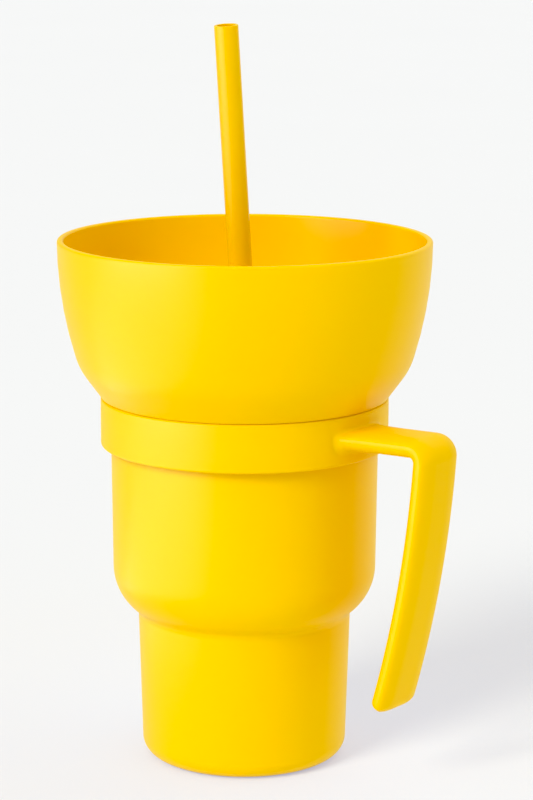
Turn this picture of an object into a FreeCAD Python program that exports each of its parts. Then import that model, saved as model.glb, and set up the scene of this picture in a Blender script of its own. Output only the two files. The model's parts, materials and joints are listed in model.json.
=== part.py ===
import FreeCAD, Part
import math
import os
import Sketcher
from FreeCAD import Vector

# A snack and drink cup: a stepped drink cup, a collar with an open handle that sits over the cup's neck,
# a snack bowl that screws down on the neck and closes the cup, and a straw that passes through the bowl.
# Millimetres and degrees. Z is up, the origin is the centre of the foot on the table, the handle is on +X.

# Driving dimensions: name, value, what it is.
DRIVING = [
    ("barrel_radius", 36.4, "lower barrel just under the shoulder"),
    ("barrel_taper", 1.5, "how much narrower the barrel is at the table"),
    ("barrel_height", 51.3, "table to the crease under the shoulder"),
    ("base_rounding", 6.0, "edge between the foot and the barrel"),
    ("shoulder_run", 8.5, "how far the rounded shoulder stands out past the barrel"),
    ("shoulder_rise", 15.5, "height of the rounded shoulder"),
    ("upper_height", 45.6, "shoulder to the ledge that carries the collar"),
    ("cup_taper", 0.5, "how much the upper wall widens on its way up"),
    ("crease_rounding", 4.0, "soft crease between barrel and shoulder"),
    ("cup_wall", 2.2, "wall of the drink cup"),
    ("foot_depth", 1.2, "hollow under the cup, so that it stands on a ring"),
    ("foot_width", 3.0, "width of that standing ring"),
    ("bottom_thickness", 2.4, "bottom of the drink cup"),
    ("ledge_thickness", 2.4, "wall that steps in from the cup to its neck"),
    ("neck_step", 4.6, "ledge's width, from the upper wall in to the neck between its thread ridges"),
    ("neck_wall", 2.0, "wall of the neck"),
    ("neck_height", 9.1, "ledge to the drinking rim"),
    ("thread_depth", 1.1, "how far a thread ridge stands out"),
    ("thread_root", 1.9, "width of a ridge where it leaves the wall"),
    ("thread_crest", 0.9, "width of a ridge at its top"),
    ("thread_pitch", 4.0, "height between neighbouring ridges"),
    ("thread_starts", 3, "number of ridges"),
    ("thread_clearance", 0.35, "radial room between the two threads"),
    ("thread_end_gap", 0.2, "room above and below a ridge's ends"),
    ("collar_wall", 3.05, "wall of the collar where it hangs around the cup"),
    ("collar_gap", 0.25, "room between the collar and the bowl's base ring above it"),
    ("collar_drop", 3.4, "how far the collar hangs below the ledge"),
    ("collar_lip", 2.6, "lip inside the collar, held between ledge and bowl"),
    ("collar_clearance", 0.35, "radial room around the cup and the bowl's skirt"),
    ("collar_top_rounding", 0.4, "upper outer edge of the collar"),
    ("collar_low_rounding", 2.0, "lower outer edge of the collar"),
    ("strap_width", 21.2, "width of the handle strap"),
    ("strap_thickness", 6.3, "thickness of the handle strap"),
    ("strap_rounding", 2.9, "long edges of the strap"),
    ("arm_rise", 5.2, "ledge to the middle of the arm where it leaves the collar"),
    ("arm_tilt", 1.6, "rise of the arm on its way out, in degrees"),
    ("flare_spread", 1.7, "how much wider each side of the arm is at the collar than the strap"),
    ("flare_length", 13.2, "collar to where the arm has narrowed to the strap"),
    ("root_rounding", 1.5, "edge between the arm and the collar"),
    ("arm_length", 29.2, "collar to the middle of the grip at its top"),
    ("handle_bend", 4.5, "bend from the arm into the grip, at the strap's middle"),
    ("grip_tilt", 4.2, "lean of the grip at its top, in degrees"),
    ("grip_bow", 395.0, "radius of the bowed grip"),
    ("grip_end_height", 27.7, "table to the free end of the grip"),
    ("tip_rounding", 2.8, "edge of the grip's free end"),
    ("bowl_overhang", 14.2, "how far the bowl's rim stands out past the collar"),
    ("bowl_depth", 55.5, "bowl's underside to its rim"),
    ("bowl_bottom_inset", 8.92, "skirt's outside to where the bowl's flat bottom ends"),
    ("bowl_side_flare", 4.87, "how far the bowl's side leans out above its rounded corner"),
    ("bowl_base_rise", 2.1, "bowl's underside to the flat ring that faces the collar"),
    ("bowl_base_inset", 0.3, "how far that ring's edge stays inside the collar's wall"),
    ("bowl_wall", 2.2, "wall and bottom of the bowl"),
    ("bowl_lip_rounding", 0.9, "both edges of the bowl's rim"),
    ("skirt_wall", 2.1, "wall of the threaded skirt under the bowl"),
    ("seal_thickness", 2.0, "flat seal between the neck and the bowl"),
    ("seal_clearance", 0.25, "room between the seal and the skirt"),
    ("chimney_height", 19.0, "bowl's bottom to the top of the straw chimney"),
    ("flange_room", 0.6, "room between the grommet's lower flange and the chimney"),
    ("chimney_spread", 1.6, "how much wider the chimney is at its foot"),
    ("chimney_wall", 2.0, "side and top of the chimney"),
    ("flange_thickness", 1.6, "each flange of the straw grommet"),
    ("flange_overlap", 1.5, "how far a flange reaches past the grommet's waist"),
    ("grommet_wall", 1.5, "grommet between its bore and its waist"),
    ("grommet_clearance", 0.3, "room between the grommet and the chimney's hole"),
    ("straw_diameter", 8.0, "outside of the straw"),
    ("straw_wall", 0.9, "wall of the straw"),
    ("straw_length", 242.58, "length of the straw"),
    ("straw_lean", 5.5, "lean of the straw in its loose bore, in degrees"),
    ("straw_clearance", 0.3, "least room between the leaning straw and the grommet"),
    ("straw_foot_gap", 5.0, "straw's foot to the bottom of the cup"),
]

# Sizes that follow from the driving ones, in the sheet's own formulas, each after those that it uses.
DERIVED = [
    # Drink cup
    ("base_radius", "barrel_radius - barrel_taper"),
    ("cup_low_radius", "barrel_radius + shoulder_run"),
    ("cup_radius", "cup_low_radius + cup_taper"),
    ("neck_radius", "cup_radius - neck_step"),
    ("foot_hollow_radius", "base_radius - base_rounding - foot_width"),
    ("drink_bottom", "foot_depth + bottom_thickness"),
    ("base_inner_radius", "base_radius - cup_wall"),
    ("base_inner_rounding", "max(base_rounding - cup_wall; cup_wall / 2)"),
    ("barrel_inner_radius", "barrel_radius - cup_wall"),
    ("shoulder_top", "barrel_height + shoulder_rise"),
    ("shoulder_curve", "(shoulder_run ^ 2 + shoulder_rise ^ 2) / (2 * shoulder_run)"),
    ("shoulder_inner_curve", "shoulder_curve - cup_wall"),
    ("shoulder_inner_height",
     "shoulder_top - sqrt(shoulder_inner_curve ^ 2 - (shoulder_curve - shoulder_run - cup_wall) ^ 2)"),
    ("cup_low_inner_radius", "cup_low_radius - cup_wall"),
    ("cup_inner_radius", "cup_radius - cup_wall"),
    ("ledge_height", "shoulder_top + upper_height"),
    ("ledge_underside", "ledge_height - ledge_thickness"),
    ("neck_inner_radius", "neck_radius - neck_wall"),
    ("rim_height", "ledge_height + neck_height"),
    # Skirt under the bowl, which stands on the collar's lip
    ("collar_lip_top", "ledge_height + collar_lip"),
    ("skirt_bottom", "collar_lip_top"),
    ("skirt_inner_radius", "neck_radius + thread_depth + thread_clearance"),
    ("skirt_radius", "skirt_inner_radius + skirt_wall"),
    # Thread, on the neck and inside the skirt
    ("thread_lead", "thread_pitch * thread_starts"),
    ("thread_rise", "rim_height - skirt_bottom - thread_root - 2 * thread_end_gap"),
    ("skirt_thread_start", "skirt_bottom + thread_root / 2 + thread_end_gap"),
    ("skirt_thread_crest_radius", "neck_radius + thread_clearance"),
    ("skirt_thread_root_radius", "skirt_inner_radius + skirt_wall / 4"),
    ("skirt_ridge_low", "skirt_thread_start - thread_root / 2"),
    ("skirt_ridge_high", "skirt_thread_start + thread_root / 2"),
    ("skirt_crest_low", "skirt_thread_start - thread_crest / 2"),
    ("skirt_crest_high", "skirt_thread_start + thread_crest / 2"),
    ("neck_thread_start", "skirt_thread_start - thread_pitch / 2"),
    ("neck_thread_crest_radius", "neck_radius + thread_depth"),
    ("neck_thread_root_radius", "neck_radius - neck_wall / 4"),
    ("neck_ridge_low", "neck_thread_start - thread_root / 2"),
    ("neck_ridge_high", "neck_thread_start + thread_root / 2"),
    ("neck_crest_low", "neck_thread_start - thread_crest / 2"),
    ("neck_crest_high", "neck_thread_start + thread_crest / 2"),
    # Collar, and the bowl's base ring just above it
    ("bowl_underside", "rim_height + seal_thickness"),
    ("bowl_base_height", "bowl_underside + bowl_base_rise"),
    ("collar_top", "bowl_base_height - collar_gap"),
    ("collar_low", "ledge_height - collar_drop"),
    ("collar_lip_radius", "neck_thread_crest_radius + collar_clearance"),
    ("collar_low_inner_radius", "cup_radius + collar_clearance"),
    ("collar_top_inner_radius", "skirt_radius + collar_clearance"),
    ("collar_radius", "max(collar_low_inner_radius; collar_top_inner_radius) + collar_wall"),
    ("collar_low_edge_rounding", "min(collar_low_rounding; collar_wall * 0.8)"),
    # Handle
    ("strap_half_width", "strap_width / 2"),
    ("strap_half_thickness", "strap_thickness / 2"),
    ("strap_edge_rounding", "min(strap_rounding; strap_thickness * 0.465)"),
    ("strap_flat_half_width", "strap_half_width - strap_edge_rounding"),
    ("strap_flat_half_thickness", "strap_half_thickness - strap_edge_rounding"),
    ("tip_edge_rounding", "min(tip_rounding; strap_edge_rounding * 0.97)"),
    ("arm_height", "ledge_height + arm_rise"),
    ("handle_reach", "collar_radius + arm_length"),
    ("flare_reach", "collar_radius + flare_length"),
    ("flare_half_width", "strap_half_width + flare_spread"),
    ("arm_axis_height", "arm_height - collar_radius * tan(arm_tilt * 1deg)"),
    ("flare_root_radius", "(collar_radius + max(collar_low_inner_radius; collar_top_inner_radius)) / 2"),
    ("flare_root_reach", "sqrt(flare_root_radius ^ 2 - flare_half_width ^ 2)"),
    ("flare_run", "flare_reach - flare_root_reach"),
    ("flare_curve", "(flare_run ^ 2 + flare_spread ^ 2) / (2 * flare_spread)"),
    ("arm_start_reach", "flare_reach * cos(arm_tilt * 1deg)"),
    ("arm_start_height", "arm_axis_height + flare_reach * sin(arm_tilt * 1deg)"),
    ("arm_end_reach", "handle_reach - handle_bend * (1 + sin(arm_tilt * 1deg))"),
    ("arm_end_height", "arm_axis_height + arm_end_reach * tan(arm_tilt * 1deg)"),
    ("grip_top_reach", "handle_reach - handle_bend * (1 - cos(grip_tilt * 1deg))"),
    ("grip_top_height",
     "arm_end_height - handle_bend * (cos(arm_tilt * 1deg) + sin(grip_tilt * 1deg))"),
    ("grip_end_sine", "sin(grip_tilt * 1deg) + (grip_top_height - grip_end_height) / grip_bow"),
    ("grip_end_reach",
     "grip_top_reach - grip_bow * (cos(grip_tilt * 1deg) - sqrt(1 - grip_end_sine ^ 2))"),
    # Snack bowl, whose side curve runs on from its corner and stands upright at the rim
    ("bowl_rim_height", "bowl_underside + bowl_depth"),
    ("bowl_rim_radius", "collar_radius + bowl_overhang"),
    ("bowl_bottom", "bowl_underside + bowl_wall"),
    ("bowl_bottom_radius", "skirt_radius - bowl_bottom_inset"),
    ("bowl_corner_radius", "bowl_rim_radius - bowl_bottom_radius - bowl_side_flare"),
    ("bowl_curve_drop", "bowl_depth - bowl_corner_radius"),
    ("bowl_side_run", "bowl_rim_radius - bowl_bottom_radius"),
    ("bowl_side_radius",
     "(bowl_side_run ^ 2 + bowl_curve_drop ^ 2 - bowl_corner_radius ^ 2) / (2 * bowl_side_flare)"),
    ("bowl_curve_gap", "bowl_side_radius - bowl_corner_radius"),
    ("bowl_curve_run", "bowl_side_radius - bowl_side_run"),
    ("bowl_join_radius", "bowl_bottom_radius + bowl_corner_radius * bowl_curve_run / bowl_curve_gap"),
    ("bowl_join_height",
     "bowl_underside + bowl_corner_radius - bowl_corner_radius * bowl_curve_drop / bowl_curve_gap"),
    ("bowl_inner_join_radius", "bowl_join_radius - bowl_wall * bowl_curve_run / bowl_curve_gap"),
    ("bowl_inner_join_height", "bowl_join_height + bowl_wall * bowl_curve_drop / bowl_curve_gap"),
    ("bowl_inner_side_radius", "bowl_side_radius - bowl_wall"),
    ("bowl_inner_corner_radius", "bowl_corner_radius - bowl_wall"),
    ("bowl_inner_rim_radius", "bowl_rim_radius - bowl_wall"),
    ("bowl_lip_edge_rounding", "min(bowl_lip_rounding; bowl_wall * 0.45)"),
    # Cone that leaves the bowl's corner and runs straight down to the base ring
    ("bowl_base_radius", "collar_radius - bowl_base_inset"),
    ("bowl_base_run", "bowl_base_radius - bowl_bottom_radius"),
    ("bowl_base_drop", "bowl_corner_radius - bowl_base_rise"),
    ("bowl_base_reach", "sqrt(bowl_base_run ^ 2 + bowl_base_drop ^ 2)"),
    ("bowl_cone_angle",
     "(atan(bowl_base_drop / bowl_base_run) - acos(bowl_corner_radius / bowl_base_reach)) / 1deg"),
    ("bowl_cone_radius", "bowl_bottom_radius + bowl_corner_radius * cos(bowl_cone_angle * 1deg)"),
    ("bowl_cone_height",
     "bowl_underside + bowl_corner_radius - bowl_corner_radius * sin(bowl_cone_angle * 1deg)"),
    # Chimney
    ("chimney_top", "bowl_bottom + chimney_height"),
    ("chimney_web", "chimney_top - chimney_wall"),
    # Seal
    ("seal_radius", "skirt_inner_radius - seal_clearance"),
    # Straw grommet
    ("grommet_top", "chimney_top + flange_thickness"),
    ("grommet_low_flange", "chimney_web - grommet_clearance"),
    ("grommet_low", "grommet_low_flange - flange_thickness"),
    ("grommet_middle", "(grommet_top + grommet_low) / 2"),
    ("straw_radius", "straw_diameter / 2"),
    ("grommet_bore_radius",
     "straw_radius / cos(straw_lean * 1deg)"
     " + (grommet_top - grommet_middle) * tan(straw_lean * 1deg) + straw_clearance"),
    ("grommet_waist_radius", "grommet_bore_radius + grommet_wall"),
    ("grommet_flange_radius", "grommet_waist_radius + flange_overlap"),
    ("chimney_hole_radius", "grommet_waist_radius + grommet_clearance"),
    # Chimney around the grommet
    ("chimney_inner_radius", "grommet_flange_radius + flange_room"),
    ("chimney_radius", "chimney_inner_radius + chimney_wall"),
    ("chimney_foot_radius", "chimney_radius + chimney_spread"),
    ("chimney_inner_foot_radius", "chimney_foot_radius - chimney_wall"),
    # Straw, measured along its own axis from the middle of the grommet
    ("straw_bore_radius", "straw_radius - straw_wall"),
    ("straw_foot_height", "drink_bottom + straw_foot_gap + straw_radius * sin(straw_lean * 1deg)"),
    ("straw_foot", "-(grommet_middle - straw_foot_height) / cos(straw_lean * 1deg)"),
    ("straw_top", "straw_foot + straw_length"),
]

# Two places closer than this are the same place.
NEAR = 1e-4

document = FreeCAD.newDocument("snack_and_drink_cup")
sizes = document.addObject("Spreadsheet::Sheet", "sizes")


def fill_sheet():
    """Write the driving values and the formulas that follow from them, one to a row."""
    row = 0
    for alias, value, note in DRIVING:
        row += 1
        sizes.set(f"A{row}", note)
        sizes.set(f"B{row}", str(value))
        sizes.setAlias(f"B{row}", alias)
    for alias, formula in DERIVED:
        row += 1
        sizes.set(f"A{row}", "follows from the sizes above")
        sizes.setAlias(f"B{row}", alias)
        sizes.set(f"B{row}", "=" + formula)
    document.recompute()


def size(alias):
    """The sheet's value for one named size."""
    return float(sizes.get(alias))


def new_body(label):
    """An empty body whose label names its file."""
    body = document.addObject("PartDesign::Body", label)
    body.Label = label
    return body


def plane_of(body, role):
    """One of the body's own origin planes."""
    for feature in body.Origin.OriginFeatures:
        if feature.Role == role:
            return feature
    raise ValueError(role)


def new_sketch(body, name, role, offset=None):
    """A sketch on an origin plane of its body, moved along the plane's normal by a named size."""
    sketch = body.newObject("Sketcher::SketchObject", name)
    sketch.AttachmentSupport = [(plane_of(body, role), "")]
    sketch.MapMode = "FlatFace"
    if offset:
        sketch.setExpression("AttachmentOffset.Base.z", "sizes." + offset)
    return sketch


def place(sketch, geometry, end, across, up):
    """Fix one end of a line or arc at two named sizes; None puts it on the axis, a minus sign mirrors it."""
    for kind, axis, alias in (("DistanceX", -2, across), ("DistanceY", -1, up)):
        if alias is None:
            sketch.addConstraint(Sketcher.Constraint("PointOnObject", geometry, end, axis))
            continue
        value, formula = signed(alias)
        number = sketch.addConstraint(Sketcher.Constraint(kind, -1, 1, geometry, end, value))
        sketch.setExpression(f"Constraints[{number}]", formula)


def signed(alias):
    """The value and the expression of a named size, which a minus sign in front mirrors."""
    if alias is None:
        return 0.0, "0"
    if alias.startswith("-"):
        return -size(alias[1:]), "-sizes." + alias[1:]
    return size(alias), "sizes." + alias


def arc_between(start, end, radius, turns_left):
    """The shorter arc of this radius from start to end, which bends to the left or to the right."""
    chord = end.sub(start)
    left = Vector(-chord.y, chord.x, 0).normalize()
    reach = math.sqrt(max(radius ** 2 - chord.Length ** 2 / 4, 0))
    centre = start.add(end).multiply(0.5).add(left.multiply(reach if turns_left else -reach))
    first, last = (start, end) if turns_left else (end, start)
    angles = [math.atan2(point.y - centre.y, point.x - centre.x) for point in (first, last)]
    circle = Part.Circle(centre, Vector(0, 0, 1), radius)
    return Part.ArcOfCircle(circle, *angles)


def trace(sketch, corners, closed=True):
    """Draw lines and arcs from corner to corner.

    A corner is (across, up) in named sizes. Where an arc leads to it, the arc's radius and the word
    left or right follow: the side to which the arc bends on the way to this corner.
    """
    points = [Vector(signed(corner[0])[0], signed(corner[1])[0], 0) for corner in corners]
    ends = []
    for index in range(0 if closed else 1, len(corners)):
        start, end = points[index - 1], points[index]
        if len(corners[index]) == 2:
            geometry = sketch.addGeometry(Part.LineSegment(start, end))
            ends.append((geometry, 1, 2))
            continue
        radius, side = corners[index][2:]
        geometry = sketch.addGeometry(arc_between(start, end, size(radius), side == "left"))
        ends.append((geometry, 1, 2) if side == "left" else (geometry, 2, 1))
        number = sketch.addConstraint(Sketcher.Constraint("Radius", geometry, size(radius)))
        sketch.setExpression(f"Constraints[{number}]", "sizes." + radius)
    for before, after in zip(ends, ends[1:]):
        sketch.addConstraint(Sketcher.Constraint("Coincident", before[0], before[2], after[0], after[1]))
    if closed:
        sketch.addConstraint(Sketcher.Constraint("Coincident", ends[-1][0], ends[-1][2], ends[0][0], ends[0][1]))
    else:
        place(sketch, ends[0][0], ends[0][1], *corners[0][:2])
    for end, corner in zip(ends, corners if closed else corners[1:]):
        place(sketch, end[0], end[2], *corner[:2])
    return sketch


def turned(body, name, role, corners):
    """A full turn about Z of a section, drawn as (radius, height) on the plane where its seam may lie."""
    section = trace(new_sketch(body, name + "_section", role), corners)
    feature = body.newObject("PartDesign::Revolution", name)
    feature.Profile = section
    feature.ReferenceAxis = (section, ["V_Axis"])
    feature.Angle = 360
    document.recompute()
    return feature


def thread(body, name, corners):
    """Thread ridges: one helical ridge about Z, then its copies all round."""
    section = trace(new_sketch(body, name + "_section", "XZ_Plane"), corners)
    ridge = body.newObject("PartDesign::AdditiveHelix", name + "_ridge")
    ridge.Profile = section
    ridge.ReferenceAxis = (section, ["V_Axis"])
    ridge.Mode = "pitch-height-angle"
    ridge.setExpression("Pitch", "sizes.thread_lead")
    ridge.setExpression("Height", "sizes.thread_rise")
    document.recompute()
    ridges = body.newObject("PartDesign::PolarPattern", name)
    ridges.Originals = [ridge]
    ridges.Axis = (section, ["V_Axis"])
    ridges.Angle = 360
    ridges.setExpression("Occurrences", "sizes.thread_starts")
    body.Tip = ridges
    document.recompute()
    return ridges


def edges_where(shape, wanted):
    """Names of the shape's edges that pass a test."""
    return [f"Edge{number}" for number, edge in enumerate(shape.Edges, 1) if wanted(edge)]


def circle_at(radius, height):
    """A test for the round edge about Z with this radius, at this height; None is the height of the table."""
    circle_radius, circle_height = size(radius), signed(height)[0]

    def wanted(edge):
        if edge.Curve.TypeId != "Part::GeomCircle":
            return False
        centre = edge.Curve.Center
        off_axis = math.hypot(centre.x, centre.y)
        return max(abs(edge.Curve.Radius - circle_radius), abs(centre.z - circle_height), off_axis) < NEAR

    return wanted


def rounded(body, name, wanted, radius):
    """Round those edges of the body's last feature that pass a test."""
    base = body.Tip
    edges = edges_where(base.Shape, wanted)
    if not edges:
        raise ValueError(f"{name} found no edge to round")
    feature = body.newObject("PartDesign::Fillet", name)
    feature.Base = (base, edges)
    feature.setExpression("Radius", "sizes." + radius)
    document.recompute()
    return feature


def make_cup_body():
    """The drink cup: a barrel that fits a cup holder, a wider upper half and a threaded neck."""
    body = new_body("cup_body")
    turned(body, "cup_shell", "XZ_Plane", [
        (None, "foot_depth"),
        ("foot_hollow_radius", "foot_depth"),
        ("foot_hollow_radius", None),
        ("base_radius", None),
        ("barrel_radius", "barrel_height"),
        ("cup_low_radius", "shoulder_top", "shoulder_curve", "left"),
        ("cup_radius", "ledge_height"),
        ("neck_radius", "ledge_height"),
        ("neck_radius", "rim_height"),
        ("neck_inner_radius", "rim_height"),
        ("neck_inner_radius", "ledge_underside"),
        ("cup_inner_radius", "ledge_underside"),
        ("cup_low_inner_radius", "shoulder_top"),
        ("barrel_inner_radius", "shoulder_inner_height", "shoulder_inner_curve", "right"),
        ("base_inner_radius", "drink_bottom"),
        (None, "drink_bottom"),
    ])
    rounded(body, "base_edge", circle_at("base_radius", None), "base_rounding")
    rounded(body, "base_inner_edge", circle_at("base_inner_radius", "drink_bottom"), "base_inner_rounding")
    rounded(body, "crease", circle_at("barrel_radius", "barrel_height"), "crease_rounding")
    thread(body, "neck_thread", [
        ("neck_thread_root_radius", "neck_ridge_low"),
        ("neck_thread_crest_radius", "neck_crest_low"),
        ("neck_thread_crest_radius", "neck_crest_high"),
        ("neck_thread_root_radius", "neck_ridge_high"),
    ])
    return body


def make_handle_collar():
    """The collar with its handle, one moulding: a lip on the cup's ledge, a flared arm and an open grip."""
    body = new_body("handle_collar")
    turned(body, "collar", "YZ_Plane", [
        ("collar_radius", "collar_low"),
        ("collar_radius", "collar_top"),
        ("collar_top_inner_radius", "collar_top"),
        ("collar_top_inner_radius", "collar_lip_top"),
        ("collar_lip_radius", "collar_lip_top"),
        ("collar_lip_radius", "ledge_height"),
        ("collar_low_inner_radius", "ledge_height"),
        ("collar_low_inner_radius", "collar_low"),
    ])
    rounded(body, "collar_top_edge", circle_at("collar_radius", "collar_top"), "collar_top_rounding")
    rounded(body, "collar_low_edge", circle_at("collar_radius", "collar_low"), "collar_low_edge_rounding")
    add_arm(body)
    add_grip(body)
    return body


def add_arm(body):
    """The arm, from the middle of the collar's wall to where it is as wide as the strap."""
    plan = trace(new_sketch(body, "arm_plan", "XY_Plane", "arm_axis_height"), [
        ("flare_root_reach", "-flare_half_width", "flare_root_radius", "right"),
        ("flare_reach", "-strap_half_width", "flare_curve", "right"),
        ("flare_reach", "strap_half_width"),
        ("flare_root_reach", "flare_half_width", "flare_curve", "right"),
    ])
    lean_up(plan, Vector(0, 1, 0))
    arm = body.newObject("PartDesign::Pad", "arm")
    arm.Profile = plan
    arm.SideType = "Symmetric"
    arm.setExpression("Length", "sizes.strap_thickness")
    document.recompute()
    curve = size("flare_curve")
    rounded(body, "arm_edges", lambda edge: edge.Curve.TypeId == "Part::GeomCircle"
            and abs(edge.Curve.Radius - curve) < NEAR, "strap_edge_rounding")
    rounded(body, "arm_root", is_arm_root, "root_rounding")


def lean_up(sketch, sideways):
    """Turn a sketch as far as the arm rises outwards, about the axis of its plane that points along Y."""
    base = sketch.AttachmentOffset.Base
    tilt = FreeCAD.Rotation(sideways, -size("arm_tilt"))
    sketch.AttachmentOffset = FreeCAD.Placement(base, tilt)
    sketch.setExpression("AttachmentOffset.Rotation.Angle", "-sizes.arm_tilt")


def is_arm_root(edge):
    """Does the edge lie where the arm leaves the collar's outer wall?"""
    points = edge.discretize(5)
    on_wall = all(abs(math.hypot(point.x, point.y) - size("collar_radius")) < NEAR for point in points)
    reach = size("strap_half_thickness") + size("root_rounding")
    beside_arm = all(abs(point.z - size("arm_height")) < reach for point in points)
    return on_wall and beside_arm


def add_grip(body):
    """The strap from the arm round the bend and down the bowed grip to its free end."""
    path = trace(new_sketch(body, "grip_path", "XZ_Plane"), [
        ("arm_start_reach", "arm_start_height"),
        ("arm_end_reach", "arm_end_height"),
        ("grip_top_reach", "grip_top_height", "handle_bend", "right"),
        ("grip_end_reach", "grip_end_height", "grip_bow", "right"),
    ], closed=False)
    section = trace(new_sketch(body, "strap_section", "YZ_Plane", "arm_start_reach"), strap_corners())
    section.setExpression("AttachmentOffset.Base.y", "sizes.arm_start_height")
    lean_up(section, Vector(1, 0, 0))
    grip = body.newObject("PartDesign::AdditivePipe", "grip")
    grip.Profile = section
    grip.Spine = path
    document.recompute()
    end = Vector(size("grip_end_reach"), 0, size("grip_end_height"))
    sine = size("grip_end_sine")
    down_grip = Vector(-sine, 0, -math.sqrt(1 - sine ** 2))

    def at_the_end(edge):
        return all(abs(point.sub(end).dot(down_grip)) < NEAR for point in edge.discretize(5))

    rounded(body, "grip_tip", at_the_end, "tip_edge_rounding")


def strap_corners():
    """The strap's section about its own middle: a rectangle with rounded corners."""
    wide, flat_wide = "strap_half_width", "strap_flat_half_width"
    thick, flat_thick = "strap_half_thickness", "strap_flat_half_thickness"
    return [
        ("-" + flat_wide, "-" + thick, "strap_edge_rounding", "left"),
        (flat_wide, "-" + thick),
        (wide, "-" + flat_thick, "strap_edge_rounding", "left"),
        (wide, flat_thick),
        (flat_wide, thick, "strap_edge_rounding", "left"),
        ("-" + flat_wide, thick),
        ("-" + wide, flat_thick, "strap_edge_rounding", "left"),
        ("-" + wide, "-" + flat_thick),
    ]


def make_snack_bowl():
    """The snack bowl: its skirt screws on the cup's neck, and a chimney in its middle lets the straw through."""
    body = new_body("snack_bowl")
    turned(body, "bowl_shell", "XZ_Plane", [
        ("bowl_rim_radius", "bowl_rim_height", "bowl_side_radius", "left"),
        ("bowl_inner_rim_radius", "bowl_rim_height"),
        ("bowl_inner_join_radius", "bowl_inner_join_height", "bowl_inner_side_radius", "right"),
        ("bowl_bottom_radius", "bowl_bottom", "bowl_inner_corner_radius", "right"),
        ("chimney_foot_radius", "bowl_bottom"),
        ("chimney_radius", "chimney_top"),
        ("chimney_hole_radius", "chimney_top"),
        ("chimney_hole_radius", "chimney_web"),
        ("chimney_inner_radius", "chimney_web"),
        ("chimney_inner_foot_radius", "bowl_underside"),
        ("skirt_inner_radius", "bowl_underside"),
        ("skirt_inner_radius", "skirt_bottom"),
        ("skirt_radius", "skirt_bottom"),
        ("skirt_radius", "bowl_base_height"),
        ("bowl_base_radius", "bowl_base_height"),
        ("bowl_cone_radius", "bowl_cone_height"),
        ("bowl_join_radius", "bowl_join_height", "bowl_corner_radius", "left"),
    ])
    rounded(body, "bowl_outer_lip", circle_at("bowl_rim_radius", "bowl_rim_height"), "bowl_lip_edge_rounding")
    rounded(body, "bowl_inner_lip", circle_at("bowl_inner_rim_radius", "bowl_rim_height"), "bowl_lip_edge_rounding")
    thread(body, "skirt_thread", [
        ("skirt_thread_root_radius", "skirt_ridge_low"),
        ("skirt_thread_root_radius", "skirt_ridge_high"),
        ("skirt_thread_crest_radius", "skirt_crest_high"),
        ("skirt_thread_crest_radius", "skirt_crest_low"),
    ])
    return body


def make_bowl_seal():
    """The flat silicone seal that the bowl presses on the cup's rim."""
    body = new_body("bowl_seal")
    turned(body, "seal", "XZ_Plane", [
        ("neck_inner_radius", "rim_height"),
        ("seal_radius", "rim_height"),
        ("seal_radius", "bowl_underside"),
        ("neck_inner_radius", "bowl_underside"),
    ])
    return body


def make_straw_grommet():
    """The silicone grommet in the chimney's hole. Its bore is wide enough for the straw to lean."""
    body = new_body("straw_grommet")
    turned(body, "grommet", "XZ_Plane", [
        ("grommet_bore_radius", "grommet_low"),
        ("grommet_flange_radius", "grommet_low"),
        ("grommet_flange_radius", "grommet_low_flange"),
        ("grommet_waist_radius", "grommet_low_flange"),
        ("grommet_waist_radius", "chimney_top"),
        ("grommet_flange_radius", "chimney_top"),
        ("grommet_flange_radius", "grommet_top"),
        ("grommet_bore_radius", "grommet_top"),
    ])
    return body


def make_straw():
    """The straw, an open tube. It leans towards -Y about the middle of the grommet."""
    body = new_body("straw")
    turned(body, "tube", "XZ_Plane", [
        ("straw_bore_radius", "straw_foot"),
        ("straw_radius", "straw_foot"),
        ("straw_radius", "straw_top"),
        ("straw_bore_radius", "straw_top"),
    ])
    body.Placement = FreeCAD.Placement(Vector(0, 0, 0), FreeCAD.Rotation(Vector(1, 0, 0), size("straw_lean")))
    body.setExpression("Placement.Base.z", "sizes.grommet_middle")
    body.setExpression("Placement.Rotation.Angle", "sizes.straw_lean")
    document.recompute()
    return body


def check(bodies):
    """Stop if a feature failed or a piece isn't one valid solid."""
    for item in document.Objects:
        if "Invalid" in item.State or "Error" in item.State:
            raise RuntimeError(f"{item.Name} failed: {item.State}")
    for body in bodies:
        if body.Shape.isNull() or not body.Shape.isValid() or len(body.Shape.Solids) != 1:
            raise RuntimeError(f"{body.Label} isn't one valid solid")


def main():
    fill_sheet()
    bodies = [
        make_cup_body(),
        make_handle_collar(),
        make_snack_bowl(),
        make_bowl_seal(),
        make_straw_grommet(),
        make_straw(),
    ]
    document.recompute()
    check(bodies)
    os.makedirs("parts", exist_ok=True)
    for body in bodies:
        body.Shape.exportStep(f"parts/{body.Label}.step")
        box = body.Shape.BoundBox
        print(f"{body.Label}: {body.Shape.Volume / 1000:.1f} cm3,"
              f" x {box.XMin:.1f} to {box.XMax:.1f}, y {box.YMin:.1f} to {box.YMax:.1f},"
              f" z {box.ZMin:.1f} to {box.ZMax:.1f}")


main()
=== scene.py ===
# %% [markdown]
# A snack and drink cup
#
# The real object is a few yellow plastic mouldings: a stepped drink cup, a collar with an open handle, a
# snack bowl that screws down on the cup, and a straw that comes up through the bowl. The construction is
# already packed as a fixed frame of named bodies and nodes. This lesson models each piece again with smooth
# surfaces, gives it a moulded finish, and sets up the light and the camera.

# %% Load the frame
import json
import math

import bmesh
import bpy
from mathutils import Matrix, Quaternion, Vector


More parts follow.
